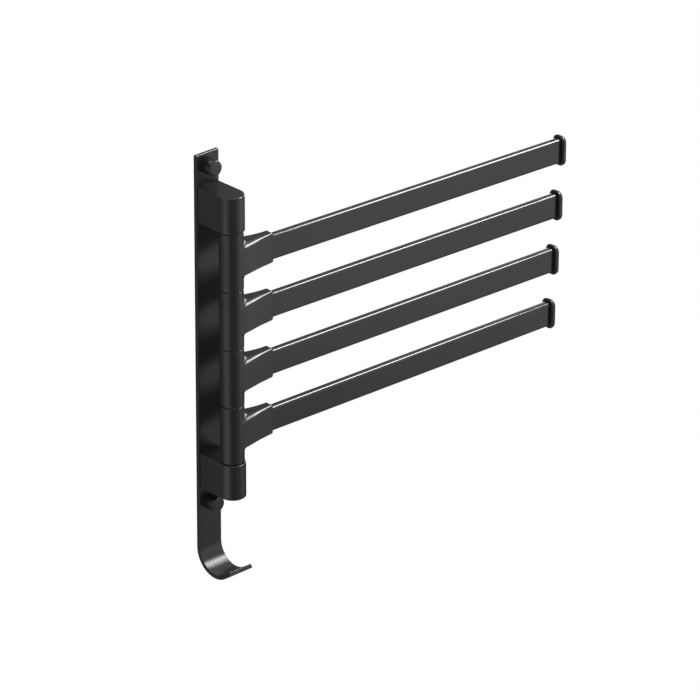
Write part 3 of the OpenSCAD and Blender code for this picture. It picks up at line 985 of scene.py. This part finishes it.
def add_lamp(context, name, azimuth, elevation, distance, size, power, roll=0.0):
    """A soft box that points at the object, turned about its own axis by roll degrees."""
    data = bpy.data.lights.new(name, "AREA")
    data.shape = "RECTANGLE"
    data.size, data.size_y = size
    data.energy = power
    lamp = bpy.data.objects.new(name, data)
    context.scene.collection.objects.link(lamp)
    way = direction(azimuth, elevation)
    lamp.location = LOOK_AT + way * distance
    turned = way.to_track_quat("Z", "Y").to_matrix() @ Matrix.Rotation(math.radians(roll), 3, "Z")
    lamp.rotation_euler = turned.to_euler()
    lamp.visible_camera = False
    return lamp


def background_rays(tree):
    """1 for rays that should see the background as white: from the camera, and mirrored or bent ones."""
    path = tree.nodes.new("ShaderNodeLightPath")
    both = math_node(tree, "MAXIMUM", path.outputs["Is Camera Ray"], path.outputs["Is Glossy Ray"])
    return math_node(tree, "MAXIMUM", both, path.outputs["Is Transmission Ray"])


def blend(tree, share, first, second):
    """A mix of two shaders."""
    mix = tree.nodes.new("ShaderNodeMixShader")
    for socket, value in zip(mix.inputs, (share, first, second)):
        tree.links.new(value, socket)
    return mix.outputs[0]


def set_world(context):
    """Soft white light all round, under a white background."""
    world = bpy.data.worlds.new("Studio")
    context.scene.world = world
    world.use_nodes = True
    tree = world.node_tree
    tree.nodes.clear()
    seen = node(tree, "ShaderNodeBackground", in_Color=(1, 1, 1, 1), in_Strength=1.0)
    soft = node(tree, "ShaderNodeBackground", in_Color=(1, 1, 1, 1), in_Strength=0.45)
    out = tree.nodes.new("ShaderNodeOutputWorld")
    tree.links.new(blend(tree, background_rays(tree), soft.outputs[0], seen.outputs[0]), out.inputs[0])


def stage_material(name):
    """An empty material for the stage, with its output's socket."""
    made = bpy.data.materials.new(name)
    made.use_nodes = True
    made.node_tree.nodes.clear()
    return made, made.node_tree, made.node_tree.nodes.new("ShaderNodeOutputMaterial").inputs[0]


def floor_material(base):
    """Matt and white to the camera, but with the object's shadow. From below it is clear."""
    made, tree, surface = stage_material("Studio floor")
    place = tree.nodes.new("ShaderNodeTexCoord").outputs["Object"]
    matt = node(tree, "ShaderNodeBsdfDiffuse")
    tree.links.new(use_group(tree, shade_drift(), vector=place, colour=(*base, 1), amount=0.02, scale=1.5,
                             edge=0.0, edge_lift=0.0), matt.inputs["Color"])
    glow = node(tree, "ShaderNodeEmission", in_Color=(1, 1, 1, 1), in_Strength=1.07)
    above = blend(tree, math_node(tree, "MULTIPLY", background_rays(tree), 0.9), matt.outputs[0], glow.outputs[0])
    below = tree.nodes.new("ShaderNodeBsdfTransparent").outputs[0]
    back = tree.nodes.new("ShaderNodeNewGeometry").outputs["Backfacing"]
    tree.links.new(blend(tree, back, above, below), surface)
    return made


# brightness of the tent, which only glossy surfaces see: (azimuth, level) along each of its seams, and the
# elevations of the seams
LOW_SEAM = ((-180, 0.36), (-170, 0.2), (-150, 0.12), (-134, 0.13), (-124, 0.24), (-112, 0.48), (-100, 0.78),
            (-88, 1.0), (-78, 0.84), (-66, 0.56), (-54, 0.31), (-42, 0.14), (-26, 0.12), (30, 0.06), (84, 0.06),
            (98, 0.16), (108, 0.5), (116, 0.78), (128, 0.86), (140, 0.97), (148, 0.94), (156, 0.55), (168, 0.48),
            (180, 0.36))
MIDDLE_SEAM = ((-180, 0.5), (-120, 0.3), (-90, 0.8), (-50, 0.3), (10, 0.05), (37, 0.05), (45, 2.5), (60, 4.5),
               (90, 4.5), (102, 0.6), (122, 1.15), (156, 1.15), (180, 0.5))
FRONT_SEAM = ((-180, 0.5), (-120, 0.3), (-90, 0.8), (-50, 0.3), (10, 0.05), (39, 0.05), (44, 0.5), (53, 3.0),
              (60, 4.0), (90, 4.0), (102, 0.6), (122, 0.95), (156, 0.95), (180, 0.5))
OVER_SEAM = ((-180, 0.5), (10, 0.05), (39, 0.06), (46, 0.42), (60, 0.5), (72, 1.5), (90, 1.5), (102, 0.6),
             (122, 0.95), (156, 0.95), (180, 0.5))
HIGH_SEAM = ((-180, 0.4), (10, 0.1), (36, 0.08), (42, 0.5), (48, 0.65), (60, 0.3), (84, 0.25), (96, 0.45),
             (150, 0.45), (180, 0.4))
SEAMS = ((-62, LOW_SEAM), (-20, LOW_SEAM), (-13, MIDDLE_SEAM), (4, MIDDLE_SEAM), (10, FRONT_SEAM), (16, FRONT_SEAM),
         (22, OVER_SEAM), (29, HIGH_SEAM), (43, HIGH_SEAM))


# the tent's right side is darker low down: (elevation, share of its brightness)
RIGHT_FADE = ((-62, 0.4), (-33, 0.45), (-29, 0.52), (-25.5, 0.95), (-22, 1.0), (43, 1.0))


def between(table, x):
    """The value at x along a table of (position, value)."""
    for (a, va), (b, vb) in zip(table, table[1:]):
        if a <= x <= b:
            return va + (vb - va) * (x - a) / (b - a)
    return table[-1][1]


def tent_level(azimuth, elevation):
    """Brightness of the tent in one direction."""
    rows = [(e, between(seam, azimuth)) for e, seam in SEAMS]
    return between(rows, elevation) * (between(RIGHT_FADE, elevation) if azimuth > 90 else 1.0)


def add_stage(context, name, points, faces, material):
    """A mesh of the stage, which is no piece of the object."""
    mesh = bpy.data.meshes.new(name)
    mesh.from_pydata(points, [], faces)
    mesh.materials.append(material)
    made = bpy.data.objects.new(name, mesh)
    context.scene.collection.objects.link(made)
    return made


def add_tent(context):
    """A studio tent with lighter and darker panels. It shows in glossy surfaces and nowhere else."""
    columns, heights = 120, [-62 + 3 * k for k in range(36)]
    n = columns + 1
    spots = [(-180 + 360 * k / columns, e) for e in heights for k in range(n)]
    faces = [(i * n + k, i * n + k + 1, (i + 1) * n + k + 1, (i + 1) * n + k)
             for i in range(len(heights) - 1) for k in range(columns)]
    material, tree, surface = stage_material("Studio tent")
    glow = node(tree, "ShaderNodeEmission", in_Color=(1, 1, 1, 1))
    level = node(tree, "ShaderNodeAttribute", attribute_name="level")
    tree.links.new(level.outputs["Fac"], glow.inputs["Strength"])
    tree.links.new(glow.outputs[0], surface)
    tent = add_stage(context, "tent", [LOOK_AT + direction(a, e) * TENT_RADIUS for a, e in spots], faces, material)
    mark = tent.data.attributes.new("level", "FLOAT", "POINT")
    mark.data.foreach_set("value", [tent_level(a, e) for a, e in spots])
    tent.visible_camera = tent.visible_diffuse = tent.visible_shadow = tent.visible_transmission = False


class TOWELBAR_OT_studio(Operator):
    """Builds the floor, the lamps, the tent and the camera"""
    bl_idname = "towelbar.studio"
    bl_label = "Studio"

    def execute(self, context):
        s, c = context.scene.towel_bar_sizes, context.scene.towel_bar_colours
        context.scene.view_settings.view_transform = "Standard"
        add_camera(context)
        set_world(context)
        z, far = -s.floor_drop, 12.0
        corners = [(-far, -far, z), (far, -far, z), (far, far, z), (-far, far, z)]
        add_stage(context, "floor", corners, [(0, 1, 2, 3)], floor_material(c.floor))
        add_lamp(context, "Main lamp", 95, 50, 1.7, (1.3, 0.8), 10.0).visible_glossy = False
        add_lamp(context, "Strip lamp", 114, 47, 1.25, (0.7, 0.32), 17.5, roll=29.0).visible_diffuse = False
        add_tent(context)
        return {"FINISHED"}


# ------ panel and registration

OPERATORS = (TOWELBAR_OT_studio, TOWELBAR_OT_wall_plate, TOWELBAR_OT_brackets, TOWELBAR_OT_screw_covers,
             TOWELBAR_OT_pivot, TOWELBAR_OT_barrels, TOWELBAR_OT_bars, TOWELBAR_OT_end_caps)


class TOWELBAR_PT_panel(Panel):
    """Lists the steps that build the towel bar, with its sizes and colours"""
    bl_idname = "TOWELBAR_PT_panel"
    bl_label = "Swing arm towel bar"
    bl_space_type = "VIEW_3D"
    bl_region_type = "UI"
    bl_category = "Towel bar"

    def draw(self, context):
        layout = self.layout
        for step in OPERATORS:
            layout.operator(step.bl_idname)
        for group in (context.scene.towel_bar_sizes, context.scene.towel_bar_colours):
            box = layout.box()
            for key in group.bl_rna.properties.keys():
                if key not in ("rna_type", "name"):
                    box.prop(group, key)


CLASSES = (TowelBarSizes, TowelBarColours) + OPERATORS + (TOWELBAR_PT_panel,)


def register():
    for item in CLASSES:
        bpy.utils.register_class(item)
    bpy.types.Scene.towel_bar_sizes = PointerProperty(type=TowelBarSizes)
    bpy.types.Scene.towel_bar_colours = PointerProperty(type=TowelBarColours)


def unregister():
    del bpy.types.Scene.towel_bar_colours
    del bpy.types.Scene.towel_bar_sizes
    for item in reversed(CLASSES):
        bpy.utils.unregister_class(item)


def main():
    register()
    bpy.ops.towelbar.studio()
    bpy.ops.towelbar.wall_plate()
    bpy.ops.towelbar.brackets()
    bpy.ops.towelbar.screw_covers()
    bpy.ops.towelbar.pivot()
    bpy.ops.towelbar.barrels()
    bpy.ops.towelbar.bars()
    bpy.ops.towelbar.end_caps()


if __name__ == "__main__":
    main()
